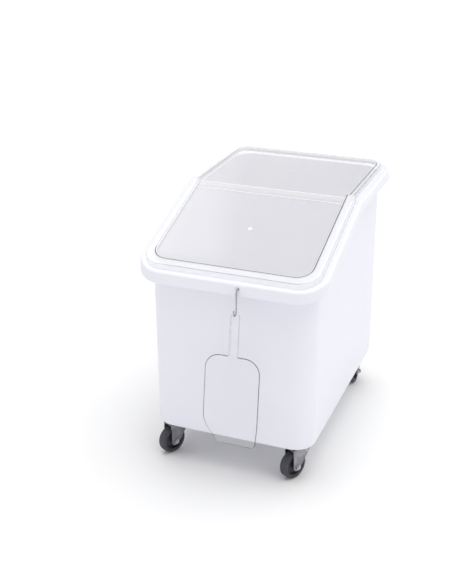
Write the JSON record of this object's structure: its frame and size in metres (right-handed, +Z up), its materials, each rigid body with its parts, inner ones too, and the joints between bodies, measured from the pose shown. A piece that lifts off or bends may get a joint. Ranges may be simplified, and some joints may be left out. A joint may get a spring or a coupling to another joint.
{
  "type": "rolling ingredient bin",
  "caption": "Slant-top rolling flour bin with clear sliding lids, turned-down rim, hung scoop and swivel and rigid casters; one has a foot brake.",
  "frame": {"origin": "on the floor, under the middle of the rim", "axes": "X to the right of someone facing the sloping front, Y from the front to the rear, Z up"},
  "size_m": [0.508, 0.8, 0.711],
  "materials": {
    "tub_plastic": "smooth moulded white polyethylene, slightly waxy",
    "clear_lid": "clear moulded plastic, glossy",
    "clear_scoop": "clear moulded plastic, glossy",
    "hook_wire": "bent bright wire",
    "insert_brass": "turned, with a plain bore",
    "zinc_plate": "zinc-plated pressed steel, satin",
    "wheel_core": "dark moulded plastic",
    "wheel_tread": "dark grey rubber",
    "bright_steel": "plated steel"
  },
  "bodies": {
    "tub_body": {"tub": "tub_plastic", "thread_inserts": "insert_brass", "front_left_plate": "zinc_plate", "front_left_kingpin": "bright_steel", "front_left_screws": "bright_steel", "front_right_plate": "zinc_plate", "front_right_kingpin": "bright_steel", "front_right_screws": "bright_steel", "rear_left_screws": "bright_steel", "rear_right_screws": "bright_steel", "rear_left_bracket": "zinc_plate", "rear_left_axle_bolt": "bright_steel", "rear_left_axle_nut": "bright_steel", "rear_left_sleeve": "bright_steel", "rear_right_bracket": "zinc_plate", "rear_right_axle_bolt": "bright_steel", "rear_right_axle_nut": "bright_steel", "rear_right_sleeve": "bright_steel", "front_left_balls": "bright_steel", "front_right_balls": "bright_steel"},
    "front_left_swivel": {"front_left_fork": "zinc_plate", "front_left_axle_bolt": "bright_steel", "front_left_axle_nut": "bright_steel", "front_left_sleeve": "bright_steel"},
    "front_right_swivel": {"front_right_fork": "zinc_plate", "front_right_axle_bolt": "bright_steel", "front_right_axle_nut": "bright_steel", "front_right_sleeve": "bright_steel", "brake_pin": "bright_steel"},
    "brake_pedal_body": {"brake_pedal": "zinc_plate"},
    "front_left_wheel": {"front_left_core": "wheel_core", "front_left_tyre": "wheel_tread"},
    "front_right_wheel": {"front_right_core": "wheel_core", "front_right_tyre": "wheel_tread"},
    "rear_left_wheel": {"rear_left_core": "wheel_core", "rear_left_tyre": "wheel_tread"},
    "rear_right_wheel": {"rear_right_core": "wheel_core", "rear_right_tyre": "wheel_tread"},
    "rear_lid_body": {"rear_lid": "clear_lid"},
    "ridge_rod_body": {"ridge_rod": "clear_lid"},
    "front_lid_body": {"front_lid": "clear_lid"},
    "hook_body": {"s_hook": "hook_wire"},
    "scoop_body": {"scoop": "clear_scoop"}
  },
  "joints": [
    {"name": "front_left_swivel_turn", "type": "hinge", "parent": "tub_body", "child": "front_left_swivel", "pos_m": [-0.175, -0.259, 0.088], "axis": [0, 0, 1], "continuous": true},
    {"name": "front_right_swivel_turn", "type": "hinge", "parent": "tub_body", "child": "front_right_swivel", "pos_m": [0.175, -0.259, 0.088], "axis": [0, 0, 1], "continuous": true},
    {"name": "front_left_wheel_spin", "type": "hinge", "parent": "front_left_swivel", "child": "front_left_wheel", "pos_m": [-0.18815, -0.28372, 0.038], "axis": [0.8829, -0.4695, 0], "continuous": true},
    {"name": "front_right_wheel_spin", "type": "hinge", "parent": "front_right_swivel", "child": "front_right_wheel", "pos_m": [0.16185, -0.28372, 0.038], "axis": [0.8829, -0.4695, 0], "continuous": true},
    {"name": "rear_left_wheel_spin", "type": "hinge", "parent": "tub_body", "child": "rear_left_wheel", "pos_m": [-0.175, 0.284, 0.038], "axis": [1, 0, 0], "continuous": true},
    {"name": "rear_right_wheel_spin", "type": "hinge", "parent": "tub_body", "child": "rear_right_wheel", "pos_m": [0.175, 0.284, 0.038], "axis": [1, 0, 0], "continuous": true},
    {"name": "brake_press", "type": "hinge", "parent": "front_right_swivel", "child": "brake_pedal_body", "pos_m": [0.17782, -0.2537, 0.0734], "axis": [-0.8829, 0.4695, 0], "range_deg": [0, 10]},
    {"name": "rear_lid_lift", "type": "slide", "parent": "tub_body", "child": "rear_lid_body", "axis": [0, 0, 1], "range_m": [0, 0.12]},
    {"name": "front_lid_tilt", "type": "hinge", "parent": "rear_lid_body", "child": "ridge_rod_body", "pos_m": [0, -0.008, 0.696], "axis": [-1, 0, 0], "range_deg": [0, 18.5]},
    {"name": "front_lid_slide", "type": "slide", "parent": "ridge_rod_body", "child": "front_lid_body", "axis": [0, 0.9483, 0.3173], "range_m": [0, 0.3]},
    {"name": "hook_swing", "type": "hinge", "parent": "tub_body", "child": "hook_body", "pos_m": [0.038, -0.37225, 0.55498], "axis": [-1, 0, 0], "range_deg": [0, 25]},
    {"name": "scoop_swing", "type": "hinge", "parent": "hook_body", "child": "scoop_body", "pos_m": [0.038, -0.39125, 0.49628], "axis": [-1, 0, 0], "range_deg": [-5, 25]}
  ]
}
